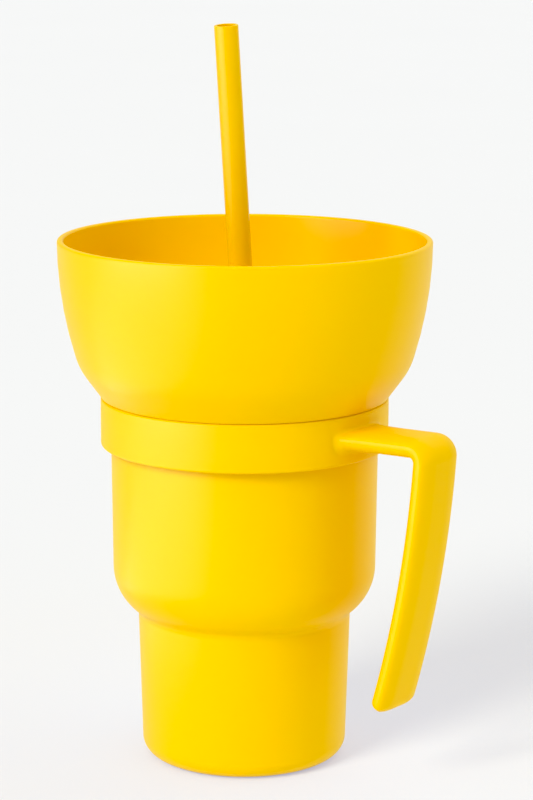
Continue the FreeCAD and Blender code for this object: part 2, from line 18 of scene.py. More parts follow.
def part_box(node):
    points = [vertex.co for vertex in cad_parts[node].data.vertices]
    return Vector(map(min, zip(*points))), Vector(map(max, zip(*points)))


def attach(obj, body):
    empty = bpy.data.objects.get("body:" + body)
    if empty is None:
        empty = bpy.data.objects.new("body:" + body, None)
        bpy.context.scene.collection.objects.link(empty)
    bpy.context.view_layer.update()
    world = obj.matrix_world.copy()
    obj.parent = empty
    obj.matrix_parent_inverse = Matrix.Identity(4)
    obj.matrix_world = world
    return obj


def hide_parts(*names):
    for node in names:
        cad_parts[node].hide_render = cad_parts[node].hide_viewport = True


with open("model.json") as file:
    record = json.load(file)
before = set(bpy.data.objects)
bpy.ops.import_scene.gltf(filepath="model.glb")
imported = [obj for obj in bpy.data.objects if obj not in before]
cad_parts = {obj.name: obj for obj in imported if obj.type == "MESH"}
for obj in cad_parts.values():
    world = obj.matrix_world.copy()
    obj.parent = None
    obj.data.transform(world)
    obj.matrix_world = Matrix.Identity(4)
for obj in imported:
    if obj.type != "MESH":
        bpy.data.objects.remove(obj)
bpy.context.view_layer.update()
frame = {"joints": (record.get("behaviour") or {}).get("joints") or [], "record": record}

joints = {joint["name"]: joint for joint in frame["joints"]}

# %% [markdown]
# A pen for sections
#
# Most pieces are round, so each is a section turned about the upright axis. The section could be typed in as
# a list of points, but a pen that draws lines and arcs keeps it readable: a line extrudes the last vertex,
# an arc spins it about a centre, and a corner is rounded by a vertex bevel. In the section X is the radius
# and Z the height, and sizes are written in millimetres.

# %% The pen
MM = 0.001
ARC_STEP = math.radians(4.0)


class SectionPen:
    """Draws a section as a chain of edges: radius and height in millimetres."""

    def __init__(self, radius, height, rounding=0.0):
        self.bm = bmesh.new()
        self.tip = self.bm.verts.new((radius * MM, 0.0, height * MM))
        self.start = self.tip
        self.corners = [(self.tip, rounding)] if rounding else []

    def line(self, radius, height, rounding=0.0):
        """Go straight to a point, whose corner gets this rounding later."""
        self.tip = bmesh.ops.extrude_vert_indiv(self.bm, verts=[self.tip])["verts"][0]
        self.tip.co = (radius * MM, 0.0, height * MM)
        if rounding:
            self.corners.append((self.tip, rounding))
        return self

    def arc(self, centre_radius, centre_height, degrees, rounding=0.0):
        """Go round a centre; positive degrees turn from outwards to upwards."""
        angle = math.radians(degrees)
        steps = max(3, math.ceil(abs(angle) / ARC_STEP))
        made = bmesh.ops.spin(self.bm, geom=[self.tip], cent=(centre_radius * MM, 0.0, centre_height * MM),
                              axis=(0, -1, 0), angle=angle, steps=steps)
        self.tip = made["geom_last"][0]
        if rounding:
            self.corners.append((self.tip, rounding))
        return self

    def close(self):
        """Join the last vertex to the first."""
        self.bm.edges.new((self.tip, self.start))
        return self

    def round_corners(self):
        """Bevel the remembered corners so that each arc has the radius that was asked for."""
        for corner, rounding in self.corners:
            turn = corner.calc_edge_angle()
            segments = max(3, math.ceil(turn / ARC_STEP / 2))
            bmesh.ops.bevel(self.bm, geom=[corner], offset=rounding * MM * math.tan(turn / 2),
                            offset_type="OFFSET", affect="VERTICES", segments=segments, profile=0.5,
                            material=-1)
        self.corners = []
        return self


print("arcs are drawn in steps of", round(math.degrees(ARC_STEP), 1), "degrees")

# %% [markdown]
# Turning a section and making a piece
#
# A full spin with merging closes the ring, and merging doubles closes a pole on the axis. Normals are
# recalculated once the mesh is closed, so that faces point outwards. Smooth shading hides the facets, and
# edges sharper than a limit stay crisp. Every piece keeps its place in its mesh, with its object at the
# origin, so that patterns on object coordinates stay put when the piece moves with its body.

# %% Turn and finish a mesh
TURN_STEPS, SMALL_TURN_STEPS = 288, 96
SAME_PLACE = 1e-7
CRISP_ANGLE = math.radians(32.0)


def close_mesh(bm):
    """Merge doubles and point the faces outwards."""
    bmesh.ops.remove_doubles(bm, verts=bm.verts[:], dist=SAME_PLACE)
    bmesh.ops.recalc_face_normals(bm, faces=bm.faces[:])


def turned(pen, steps=TURN_STEPS):
    """The pen's section, turned all the way round the upright axis."""
    pen.round_corners()
    bmesh.ops.spin(pen.bm, geom=pen.bm.verts[:] + pen.bm.edges[:], cent=(0, 0, 0), axis=(0, 0, 1),
                   angle=math.tau, steps=steps, use_merge=True)
    close_mesh(pen.bm)
    return pen.bm


def piece(name, bm, body, material, node=None):
    """Make an object of a mesh, let it ride on its body and hide the node it stands for."""
    mesh = bpy.data.meshes.new(name)
    bm.to_mesh(mesh)
    bm.free()
    mesh.shade_smooth()
    mesh.set_sharp_from_angle(angle=CRISP_ANGLE)
    mesh.materials.append(material)
    made = bpy.data.objects.new(name, mesh)
    bpy.context.scene.collection.objects.link(made)
    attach(made, body)
    if node:
        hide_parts(node)
    triangles = sum(len(face.vertices) - 2 for face in mesh.polygons)
    print(name, "on", body, "has", triangles, "triangles")
    return made


# %% [markdown]
# Shader sums as Python
#
# A finish is a tree of nodes. Writing it as Python expressions keeps it short: a small class wraps a socket,
# and adding or multiplying two of them adds a Math node. Any other node comes from one method that takes its
# type, its settings and its sockets.

# %% The finish and its values
COLOUR = {"data_type": "RGBA"}
COLOUR_OUT = 2


class Value:
    """A socket that takes part in sums."""

    def __init__(self, nodes, socket):
        self.nodes = nodes
        self.socket = socket

    def sum(self, operation, first, second):
        return self.nodes.node("ShaderNodeMath", {"operation": operation}, {0: first, 1: second})

    def at_least(self, other):
        return self.sum("MAXIMUM", self, other)

    def __add__(self, other):
        return self.sum("ADD", self, other)

    def __radd__(self, other):
        return self.sum("ADD", other, self)

    def __sub__(self, other):
        return self.sum("SUBTRACT", self, other)

    def __rsub__(self, other):
        return self.sum("SUBTRACT", other, self)

    def __mul__(self, other):
        return self.sum("MULTIPLY", self, other)

    def __rmul__(self, other):
        return self.sum("MULTIPLY", other, self)


class Nodes:
    """An empty node tree whose nodes are added one by one."""

    def __init__(self, owner):
        owner.use_nodes = True
        self.tree = owner.node_tree
        self.tree.nodes.clear()

    def node(self, kind, settings=None, sockets=None, out=0):
        """Add a node: its settings first, then the values or links of its sockets."""
        made = self.tree.nodes.new(kind)
        for name, value in (settings or {}).items():
            setattr(made, name, value)
        for name, value in (sockets or {}).items():
            if isinstance(value, Value):
                self.tree.links.new(value.socket, made.inputs[name])
            else:
                made.inputs[name].default_value = value
        return None if out is None else Value(self, made.outputs[out])


class Finish(Nodes):
    """A material with the nodes that finishes share."""

    def __init__(self, name):
        self.material = bpy.data.materials.new(name)
        super().__init__(self.material)

    def place(self):
        """Where a point lies on its piece, in metres."""
        return self.node("ShaderNodeTexCoord", out="Object")

    def noise(self, place, scale, detail=2.0, roughness=0.5):
        """A cloudy value about one half."""
        return self.node("ShaderNodeTexNoise", {"noise_dimensions": "3D"},
                         {"Vector": place, "Scale": scale, "Detail": detail, "Roughness": roughness}, "Fac")

    def mix(self, share, first, second):
        """A colour between two colours."""
        return self.node("ShaderNodeMix", COLOUR, {0: share, 6: first, 7: second}, COLOUR_OUT)

    def bump(self, height, distance, strength=1.0, before=None):
        """A bumped normal for a height between 0 and 1."""
        sockets = {"Height": height, "Distance": distance, "Strength": strength}
        if before:
            sockets["Normal"] = before
        return self.node("ShaderNodeBump", None, sockets, "Normal")

    def plastic(self, sockets):
        """The surface shader and the output; returns the material."""
        shader = self.node("ShaderNodeBsdfPrincipled", {"subsurface_method": "RANDOM_WALK"}, sockets, "BSDF")
        self.node("ShaderNodeOutputMaterial", None, {"Surface": shader}, None)
        print("finish", self.material.name, "has", len(self.tree.nodes), "nodes")
        return self.material


def shade(red, green, blue):
    """A linear colour from the usual 0 to 255 values."""
    values = [value / 255 for value in (red, green, blue)]
    linear = [value / 12.92 if value <= 0.04045 else ((value + 0.055) / 1.055) ** 2.4 for value in values]
    return (*linear, 1.0)


# %% [markdown]
# Satin polypropylene
#
# The cup and the bowl are moulded in a polished tool, so they are smooth with a soft gloss. The colour goes
# right through the plastic: light enters a little way and comes out warmer, so a thin wall glows and a
# shaded fold turns orange. A slow cloudiness in the colour and in the gloss, and a very slight waviness of
# the skin, are what make it look moulded and not painted.

# %% Satin and matte yellow
YELLOW = (0.895, 0.555, 0.002, 1.0)
DEEP_YELLOW = (0.875, 0.52, 0.001, 1.0)
GLOW_RADIUS, GLOW_DEPTH, GLOW_WEIGHT = (1.0, 0.45, 0.05), 2.5, 0.12
PLASTIC_IOR, PLASTIC_GLOSS = 1.49, 0.15
CLOUD_SCALE, WAVE_SCALE = 22.0, 70.0
CLOUD_SHARE, GRAIN_SHARE = 0.05, 0.03


def moulded_yellow(name, roughness, grain_size, grain_depth, wave_depth):
    """Yellow moulded plastic; the grain's size and depth and the wave's depth are in millimetres."""
    finish = Finish(name)
    place = finish.place()
    clouds = finish.noise(place, CLOUD_SCALE, 3.0)
    grain = finish.noise(place, 1.0 / (grain_size * MM), 2.0)
    wave = finish.noise(place, WAVE_SCALE, 1.0)
    colour = finish.mix(clouds, YELLOW, DEEP_YELLOW)
    gloss = roughness - (CLOUD_SHARE + GRAIN_SHARE) / 2 + CLOUD_SHARE * clouds + GRAIN_SHARE * grain
    skin = finish.bump(wave, wave_depth * MM)
    skin = finish.bump(grain, grain_depth * MM, 1.0, skin)
    return finish.plastic({
        "Base Color": colour,
        "Roughness": gloss,
        "IOR": PLASTIC_IOR,
        "Specular IOR Level": PLASTIC_GLOSS,
        "Subsurface Weight": GLOW_WEIGHT,
        "Subsurface Radius": GLOW_RADIUS,
        "Subsurface Scale": GLOW_DEPTH * MM,
        "Normal": skin,
    })


satin_yellow = moulded_yellow("satin_yellow", 0.38, 0.5, 0.004, 0.03)
matte_yellow = moulded_yellow("matte_yellow", 0.44, 0.35, 0.008, 0.02)

# %% [markdown]
# Straw plastic and silicone
#
# A straw is pulled through a die, so its skin has faint streaks along its length. They come from the same
# noise, stretched along the straw by a Mapping node that turns the pattern to the straw's lean. The seal and
# the grommet are silicone: softer looking, with no gloss to speak of.

# %% Straw and silicone finishes
STRAW_YELLOW, DEEP_STRAW_YELLOW = (0.87, 0.535, 0.002, 1.0), (0.85, 0.505, 0.001, 1.0)
STREAK_SCALE, STREAK_STRETCH, STRAW_CLOUD_SCALE = 900.0, 40.0, 30.0
STRAW_GLOW_WEIGHT, STRAW_GLOW_DEPTH, STREAK_HEIGHT = 0.3, 1.5, 0.006
SILICONE_IOR, SILICONE_CLOUD_SCALE, DUST_SCALE, DUST_HEIGHT = 1.41, 60.0, 3500.0, 0.01
straw_axis = Vector(joints["straw_slide"]["axis"]).normalized()
straw_turn = Vector((0, 0, 1)).rotation_difference(straw_axis)


def extruded_yellow(name):
    """Yellow plastic with streaks along the straw."""
    finish = Finish(name)
    place = finish.place()
    along = finish.node("ShaderNodeMapping", {"vector_type": "TEXTURE"},
                        {"Vector": place, "Rotation": straw_turn.to_euler(),
                         "Scale": (1.0, 1.0, STREAK_STRETCH)})
    streaks = finish.noise(along, STREAK_SCALE, 2.0)
    clouds = finish.noise(place, STRAW_CLOUD_SCALE, 2.0)
    return finish.plastic({
        "Base Color": finish.mix(clouds, STRAW_YELLOW, DEEP_STRAW_YELLOW),
        "Roughness": 0.3 + 0.1 * streaks,
        "IOR": PLASTIC_IOR,
        "Specular IOR Level": PLASTIC_GLOSS,
        "Subsurface Weight": STRAW_GLOW_WEIGHT,
        "Subsurface Radius": GLOW_RADIUS,
        "Subsurface Scale": STRAW_GLOW_DEPTH * MM,
        "Normal": finish.bump(streaks, STREAK_HEIGHT * MM),
    })


def silicone(name, light, dark):
    """Soft matte silicone with a fine dusty skin."""
    finish = Finish(name)
    place = finish.place()
    clouds = finish.noise(place, SILICONE_CLOUD_SCALE, 3.0)
    dust = finish.noise(place, DUST_SCALE, 2.0)
    return finish.plastic({
        "Base Color": finish.mix(clouds, light, dark),
        "Roughness": 0.55 + 0.2 * dust,
        "IOR": SILICONE_IOR,
        "Subsurface Weight": 0.3,
        "Subsurface Radius": (1.0, 0.8, 0.5),
        "Subsurface Scale": 2.0 * MM,
        "Normal": finish.bump(dust, DUST_HEIGHT * MM),
    })


straw_yellow = extruded_yellow("straw_yellow")
milky_silicone = silicone("milky_silicone", shade(238, 226, 190), shade(228, 214, 172))
yellow_silicone = silicone("yellow_silicone", shade(246, 204, 40), shade(240, 194, 26))

# %% [markdown]
# The drink cup
#
# The cup is one thin moulding: a slightly tapered barrel that fits a cup holder, a rounded shoulder, a wider
# upper half, a ledge, and a narrower neck with a thread. It could be one cylinder scaled in steps, but the
# shoulder's curve and the soft crease under it are what the eye reads, so the section is drawn with both
# walls, from the middle of the foot up the outside, over the rim and down the inside.

# %% Draw the cup
cup_rim_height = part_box("cup_body")[1].z / MM
cup_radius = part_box("cup_body")[1].y / MM
barrel_radius, barrel_taper, barrel_height = 36.4, 1.5, 51.3
base_rounding, crease_rounding = 6.0, 4.0
shoulder_rise, cup_taper = 15.5, 0.5
cup_wall, foot_depth, foot_width, bottom_thickness = 2.2, 1.2, 3.0, 2.4
neck_height, neck_step, neck_wall, ledge_thickness = 9.1, 4.6, 2.0, 2.4

base_radius = barrel_radius - barrel_taper
cup_low_radius = cup_radius - cup_taper
shoulder_run = cup_low_radius - barrel_radius
shoulder_top = barrel_height + shoulder_rise
shoulder_curve = (shoulder_run ** 2 + shoulder_rise ** 2) / (2 * shoulder_run)
shoulder_centre = Vector((cup_low_radius - shoulder_curve, shoulder_top))
ledge_height = cup_rim_height - neck_height
neck_radius = cup_radius - neck_step
neck_inner_radius = neck_radius - neck_wall
drink_bottom = foot_depth + bottom_thickness
inner_curve = shoulder_curve - cup_wall
inner_sweep = math.degrees(math.acos((inner_curve - shoulder_run) / inner_curve))
print("shoulder curve", round(shoulder_curve, 2), "mm")


def draw_crease(pen):
    """Go up the barrel and round the crease, on a circle that touches the barrel and the shoulder."""
    barrel_top = Vector((barrel_radius, barrel_height))
    up_barrel = Vector((barrel_taper, barrel_height)).normalized()
    outward = Vector((up_barrel.y, -up_barrel.x))
    start = barrel_top - shoulder_centre + crease_rounding * outward
    apart = shoulder_curve + crease_rounding
    back = start.dot(up_barrel) + math.sqrt(start.dot(up_barrel) ** 2 - start.length_squared + apart ** 2)
    crease_start = barrel_top - back * up_barrel
    crease_centre = crease_start + crease_rounding * outward
    to_crease = crease_centre - shoulder_centre
    shoulder_sweep = -math.degrees(math.atan2(to_crease.y, to_crease.x))
    crease_sweep = shoulder_sweep - math.degrees(math.atan2(up_barrel.x, up_barrel.y))
    pen.line(*crease_start)
    pen.arc(*crease_centre, -crease_sweep)
    pen.arc(*shoulder_centre, shoulder_sweep)


def draw_cup():
    """The cup's section."""
    foot_hollow = base_radius - base_rounding - foot_width
    pen = SectionPen(0.0, foot_depth)
    pen.line(foot_hollow, foot_depth, 0.8)
    pen.line(foot_hollow, 0.0, 0.4)
    pen.line(base_radius, 0.0, base_rounding)
    draw_crease(pen)
    pen.line(cup_radius, ledge_height, 0.4)
    pen.line(neck_radius, ledge_height, 0.4)
    pen.line(neck_radius, cup_rim_height, 0.8)
    pen.line(neck_inner_radius, cup_rim_height, 0.8)
    pen.line(neck_inner_radius, ledge_height - ledge_thickness, 1.0)
    pen.line(cup_radius - cup_wall, ledge_height - ledge_thickness, 1.0)
    pen.line(cup_low_radius - cup_wall, shoulder_top)
    pen.arc(*shoulder_centre, -inner_sweep)
    pen.line(base_radius - cup_wall, drink_bottom, base_rounding - cup_wall)
    pen.line(0.0, drink_bottom)
    return pen


piece("cup_shell", turned(draw_cup()), "cup", satin_yellow, "cup_body")

# %% [markdown]
# Thread ridges
#
# The bowl screws on with three short ridges on the neck and three inside the bowl's skirt. A ridge is a small
# section spun about the axis while it climbs: the spin operator takes a step upwards for each step round. Its
# foot is sunk a little into the wall that carries it, so no gap can show.

# %% Draw the thread
thread_depth, thread_root, thread_crest = 1.1, 1.9, 0.9
thread_pitch, thread_starts, thread_sink = 4.0, 3, 0.3
thread_clearance, thread_end_gap, collar_lip = 0.35, 0.2, 2.6
thread_lead = thread_pitch * thread_starts
skirt_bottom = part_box("snack_bowl")[0].z / MM
thread_rise = cup_rim_height - skirt_bottom - thread_root - 2 * thread_end_gap
thread_start = skirt_bottom + thread_root / 2 + thread_end_gap
THREAD_STEPS = 72


def thread_ridges(foot_radius, crest_radius, middle_height):
    """Three ridges, each a section that climbs as it goes round."""
    ridges = bmesh.new()
    turn = math.tau * thread_rise / thread_lead
    for start in range(thread_starts):
        pen = SectionPen(foot_radius, middle_height - thread_root / 2)
        pen.line(crest_radius, middle_height - thread_crest / 2, 0.2)
        pen.line(crest_radius, middle_height + thread_crest / 2, 0.2)
        pen.line(foot_radius, middle_height + thread_root / 2)
        pen.close().round_corners()
        bmesh.ops.contextual_create(pen.bm, geom=pen.bm.edges[:])
        outline = pen.bm.edges[:]
        end = bmesh.ops.spin(pen.bm, geom=pen.bm.verts[:] + outline, cent=(0, 0, 0), axis=(0, 0, 1),
                             dvec=(0, 0, thread_rise * MM / THREAD_STEPS), angle=turn, steps=THREAD_STEPS)
        bmesh.ops.contextual_create(pen.bm, geom=[item for item in end["geom_last"]
                                                  if isinstance(item, bmesh.types.BMEdge)])
        bmesh.ops.rotate(pen.bm, verts=pen.bm.verts[:], cent=(0, 0, 0),
                         matrix=Matrix.Rotation(math.tau * start / thread_starts, 3, "Z"))
        close_mesh(pen.bm)
        ridge = bpy.data.meshes.new("ridge")
        pen.bm.to_mesh(ridge)
        pen.bm.free()
        ridges.from_mesh(ridge)
        bpy.data.meshes.remove(ridge)
    return ridges


neck_ridges = thread_ridges(neck_radius - thread_sink, neck_radius + thread_depth,
                            thread_start - thread_pitch / 2)
piece("neck_thread", neck_ridges, "cup", satin_yellow)

# %% [markdown]
# The snack bowl
#
# The bowl hangs over the cup like a wide lid: a skirt under it screws on the neck, and a short chimney in
# its middle carries the straw above the level of the snacks. Its side is one long curve that stands upright
# at the rim and runs into a tighter corner at the bottom. Both walls are drawn, as two pairs of arcs about
# the same centres. Outside, the corner runs on as a short straight cone to a base ring that is as wide as the
# collar. Inside its edge the ring has a low bead, so that the line between the two stays a shallow groove.

# %% Draw the bowl
bowl_rim_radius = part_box("snack_bowl")[1].x / MM
bowl_rim_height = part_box("snack_bowl")[1].z / MM
bowl_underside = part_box("bowl_seal")[1].z / MM
bowl_wall, bowl_lip_rounding = 2.2, 0.9
bowl_bottom_inset, bowl_side_flare = 8.92, 4.87
bowl_base_rise, bowl_base_inset = 2.1, 0.3
groove_depth, bead_clearance = 0.45, 0.05
skirt_wall = 2.1
chimney_height, chimney_wall, chimney_spread = 19.0, 2.0, 1.6
flange_room, grommet_clearance, flange_overlap = 0.6, 0.3, 1.5

bowl_bottom = bowl_underside + bowl_wall
skirt_inner_radius = neck_radius + thread_depth + thread_clearance
skirt_radius = skirt_inner_radius + skirt_wall
bowl_bottom_radius = skirt_radius - bowl_bottom_inset
side_run = bowl_rim_radius - bowl_bottom_radius
corner_curve = side_run - bowl_side_flare
corner_height = bowl_underside + corner_curve
side_drop = bowl_rim_height - corner_height
side_curve = (side_run ** 2 + side_drop ** 2 - corner_curve ** 2) / (2 * bowl_side_flare)
side_centre = bowl_rim_radius - side_curve
side_sweep = math.degrees(math.asin(side_drop / (side_curve - corner_curve)))
collar_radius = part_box("handle_collar")[1].y / MM
base_ring_radius = collar_radius - bowl_base_inset
base_ring_height = bowl_underside + bowl_base_rise
collar_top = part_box("handle_collar")[1].z / MM
bead_height = collar_top + bead_clearance
ring_run, ring_drop = base_ring_radius - bowl_bottom_radius, corner_height - base_ring_height
cone_turn = math.degrees(math.atan2(ring_drop, ring_run)
                         - math.acos(corner_curve / math.hypot(ring_run, ring_drop)))
chimney_top = bowl_bottom + chimney_height
grommet_flange_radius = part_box("straw_grommet")[1].x / MM
chimney_hole_radius = grommet_flange_radius - flange_overlap + grommet_clearance
chimney_inner_radius = grommet_flange_radius + flange_room
chimney_radius = chimney_inner_radius + chimney_wall
print("bowl side curve", round(side_curve, 1), "mm, corner", round(corner_curve, 1), "mm")


def draw_bowl():
    """The bowl's section: down the outside, round the skirt and the chimney, and up the inside."""
    pen = SectionPen(bowl_rim_radius, bowl_rim_height, bowl_lip_rounding)
    pen.arc(side_centre, bowl_rim_height, -side_sweep)
    pen.arc(bowl_bottom_radius, corner_height, side_sweep - cone_turn)
    pen.line(base_ring_radius, base_ring_height, 0.3)
    pen.line(base_ring_radius - groove_depth, base_ring_height)
    pen.line(base_ring_radius - groove_depth, bead_height)
    pen.line(skirt_radius, bead_height, 0.3)
    pen.line(skirt_radius, skirt_bottom, 0.4)
    pen.line(skirt_inner_radius, skirt_bottom, 0.4)
    pen.line(skirt_inner_radius, bowl_underside, 0.4)
    pen.line(chimney_radius + chimney_spread - chimney_wall, bowl_underside, 0.8)
    pen.line(chimney_inner_radius, chimney_top - chimney_wall, 0.4)
    pen.line(chimney_hole_radius, chimney_top - chimney_wall, 0.2)
    pen.line(chimney_hole_radius, chimney_top, 0.2)
    pen.line(chimney_radius, chimney_top, 1.2)
    pen.line(chimney_radius + chimney_spread, bowl_bottom, 2.5)
    pen.line(bowl_bottom_radius, bowl_bottom)
    pen.arc(bowl_bottom_radius, corner_height, 90.0 - side_sweep)
    pen.arc(side_centre, bowl_rim_height, side_sweep, bowl_lip_rounding)
    return pen.close()


piece("bowl_shell", turned(draw_bowl()), "bowl", satin_yellow, "snack_bowl")
skirt_ridges = thread_ridges(skirt_inner_radius + thread_sink, neck_radius + thread_clearance, thread_start)
piece("skirt_thread", skirt_ridges, "bowl", satin_yellow)

# %% [markdown]
# Seal, grommet and straw
#
# Two soft rings and a tube. The flat seal lies between the neck and the bowl, and the grommet sits in the
# hole of the chimney with a flange above and below. The straw is drawn upright about the axis, then turned
# to its lean and moved so that it passes through the middle of the grommet.

# %% Draw the seal, the grommet and the straw
seal_low, seal_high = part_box("bowl_seal")
grommet_low, grommet_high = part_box("straw_grommet")
flange_thickness, grommet_wall = 1.6, 1.5
straw_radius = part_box("straw")[1].x / MM
straw_wall = 0.9
straw_mount = next(mount for mount in frame["record"]["mounts"] if mount["name"] == "straw_bore")
straw_length = straw_mount["dims"]["length_mm"]
straw_top = Vector(straw_mount["pos_m"])


def draw_seal():
    """A flat ring with softened edges."""
    pen = SectionPen(neck_inner_radius, seal_low.z / MM, 0.5)
    pen.line(seal_high.x / MM, seal_low.z / MM, 0.5)
    pen.line(seal_high.x / MM, seal_high.z / MM, 0.5)
    pen.line(neck_inner_radius, seal_high.z / MM, 0.5)
    return pen.close()


def draw_grommet():
    """A waist in the chimney's hole between two flanges."""
    low, high = grommet_low.z / MM, grommet_high.z / MM
    waist = grommet_flange_radius - flange_overlap
    bore = waist - grommet_wall
    pen = SectionPen(bore, low, 0.4)
    pen.line(grommet_flange_radius, low, 0.5)
    pen.line(grommet_flange_radius, low + flange_thickness, 0.3)
    pen.line(waist, low + flange_thickness)
    pen.line(waist, high - flange_thickness)
    pen.line(grommet_flange_radius, high - flange_thickness, 0.3)
    pen.line(grommet_flange_radius, high, 0.6)
    pen.line(bore, high, 0.5)
    return pen.close()


def draw_straw():
    """An open tube whose top lies at height 0, before it is turned to its lean."""
    bore = straw_radius - straw_wall
    pen = SectionPen(bore, -straw_length, 0.3)
    pen.line(straw_radius, -straw_length, 0.3)
    pen.line(straw_radius, 0.0, 0.3)
    pen.line(bore, 0.0, 0.3)
    return pen.close()


piece("seal_ring", turned(draw_seal()), "seal", milky_silicone, "bowl_seal")
grommet_ring = turned(draw_grommet(), SMALL_TURN_STEPS)
piece("grommet_ring", grommet_ring, "grommet", yellow_silicone, "straw_grommet")
tube = turned(draw_straw(), SMALL_TURN_STEPS)
bmesh.ops.rotate(tube, verts=tube.verts[:], cent=(0, 0, 0), matrix=straw_turn.to_matrix())
bmesh.ops.translate(tube, verts=tube.verts[:], vec=straw_top)
piece("straw_tube", tube, "drinking_straw", straw_yellow, "straw")

# %% [markdown]
# The collar
#
# The collar is a ring that sits over the neck. Inside it a lip rests on the cup's ledge, and the bowl's skirt
# holds that lip down. Its outer wall is plain, with slightly rounded edges. The ring and the handle are one
# moulding, so they end up in one mesh.

# %% Draw the collar
collar_drop, collar_clearance = 3.4, 0.35
collar_top_rounding, collar_low_rounding = 0.8, 0.9
collar_low = ledge_height - collar_drop


def draw_collar():
    """The collar's section with its lip."""
    lip_top = ledge_height + collar_lip
    lip_radius = neck_radius + thread_depth + collar_clearance
    pen = SectionPen(collar_radius, collar_low, collar_low_rounding)
    pen.line(collar_radius, collar_top, collar_top_rounding)
    pen.line(skirt_radius + collar_clearance, collar_top, 0.3)
    pen.line(skirt_radius + collar_clearance, lip_top)
    pen.line(lip_radius, lip_top, 0.3)
    pen.line(lip_radius, ledge_height, 0.3)
    pen.line(cup_radius + collar_clearance, ledge_height)
    pen.line(cup_radius + collar_clearance, collar_low, 0.4)
    return pen.close()


collar_ring = turned(draw_collar())
print("collar from", round(collar_low, 1), "to", round(collar_top, 1), "mm")

# %% [markdown]
# The handle
#
# The handle is a strap with rounded edges: an arm leaves the collar, bends down and becomes a bowed grip with
# a free end. A curve with a bevel could make it, but then the root and the tip would be blunt. Here one
# section travels along the path: it is spun about the bend's centre and then about the grip's far centre, the
# free end is drawn in to a dome, and the root flares and turns out on the collar's wall. The strap's outer
# face is softer than its inner one. Those corners are ellipses, which a bevel makes while the section is
# stretched in its thickness.

# %% The strap's section
strap_width, strap_thickness = 21.2, 6.3
strap_rounding, strap_soft_edge, strap_soft_depth = 3.8, 7.0, 2.4
STRAP_CORNER_SEGMENTS = 12
STRAP_FLAT_CUTS = 17


def edges_of(items):
    """The edges in what an operator returned."""
    return [item for item in items if isinstance(item, bmesh.types.BMEdge)]


def verts_of(items):
    """The vertices in what an operator returned."""
    return [item for item in items if isinstance(item, bmesh.types.BMVert)]


def round_strap_edges(bm, corners, rounding):
    """Round some corners of the strap's section."""
    bmesh.ops.bevel(bm, geom=corners, offset=rounding * MM, offset_type="OFFSET", affect="VERTICES",
                    segments=STRAP_CORNER_SEGMENTS, profile=0.5, material=-1)


def strap_loop(bm):
    """The edges of the strap's section about the origin: across is Y, up is Z."""
    bmesh.ops.create_grid(bm, x_segments=1, y_segments=1, size=0.5)
    bmesh.ops.scale(bm, verts=bm.verts[:], vec=(strap_width * MM, strap_thickness * MM, 1))
    inner = [vert for vert in bm.verts if vert.co.y < 0]
    outer = [vert for vert in bm.verts if vert.co.y > 0]
    round_strap_edges(bm, inner, strap_rounding)
    stretch = strap_soft_edge / strap_soft_depth
    bmesh.ops.scale(bm, verts=bm.verts[:], vec=(1, stretch, 1))
    round_strap_edges(bm, outer, strap_soft_edge)
    bmesh.ops.scale(bm, verts=bm.verts[:], vec=(1, 1 / stretch, 1))
    bmesh.ops.delete(bm, geom=bm.faces[:], context="FACES_ONLY")
    flats = [edge for edge in bm.edges if edge.calc_length() > strap_rounding * MM]
    bmesh.ops.subdivide_edges(bm, edges=flats, cuts=STRAP_FLAT_CUTS)
    to_section = Matrix(((0, 0, 1), (1, 0, 0), (0, 1, 0)))
    bmesh.ops.rotate(bm, verts=bm.verts[:], cent=(0, 0, 0), matrix=to_section)
    print("strap section has", len(bm.verts), "vertices")
    return bm.edges[:]


# %% [markdown]
# The handle's root
#
# The root starts as a straight piece of strap that is pulled towards the collar in short steps. Each of its
# points is then laid in place: the strap widens as it nears the wall, follows the wall's curve, and turns out
# on it in a small fillet, a larger one below. The last loop lies on the wall, so it can be sewn to it
# afterwards.

# %% Lay the root on the collar
arm_rise, arm_tilt = 5.2, 1.6
flare_length, flare_spread = 13.2, 1.7
root_rounding, root_extra_below = 1.5, 1.1
ROOT_STEPS = 10
tilt = math.radians(arm_tilt)
arm_axis_height = ledge_height + arm_rise - collar_radius * math.tan(tilt)
root_run = flare_length - root_rounding
root_turn = root_rounding * math.pi / 2
print("arm axis meets the cup's axis at", round(arm_axis_height, 2), "mm")


def strap_outward(across, up):
    """The way straight out of the strap's skin at a point of its section."""
    flat_low, flat_high = strap_rounding - strap_thickness / 2, strap_thickness / 2 - strap_soft_depth
    edge, depth = (strap_soft_edge, strap_soft_depth) if up > flat_high else (strap_rounding, strap_rounding)
    flat_width = strap_width / 2 - edge
    past_flat = across - max(-flat_width, min(across, flat_width))
    past_side = up - max(flat_low, min(up, flat_high))
    return Vector((past_flat / edge ** 2, past_side / depth ** 2)).normalized()


def lay_on_collar(point):
    """Where a point of the straight root goes, in millimetres; X runs inwards from the flare's start."""
    along, across, up = -point.x, point.y, point.z
    outward = strap_outward(across, up)
    rounding = root_rounding + root_extra_below * max(0.0, -outward.y)
    turn = max(0.0, along - root_run) / root_rounding
    straight_gap = flare_length - along * (flare_length - rounding) / root_run
    gap = straight_gap if turn == 0 else rounding * (1 - math.sin(turn))
    swell = rounding * (1 - math.cos(turn))
    nearness = 1 - gap / flare_length
    across = across * (1 + 2 * flare_spread / strap_width * nearness ** 2) + swell * outward.x
    curve = collar_radius - math.sqrt(collar_radius ** 2 - across ** 2)
    reach = collar_radius + gap - curve * nearness
    return Vector((reach, across, arm_axis_height + reach * math.tan(tilt) + up + swell * outward.y))


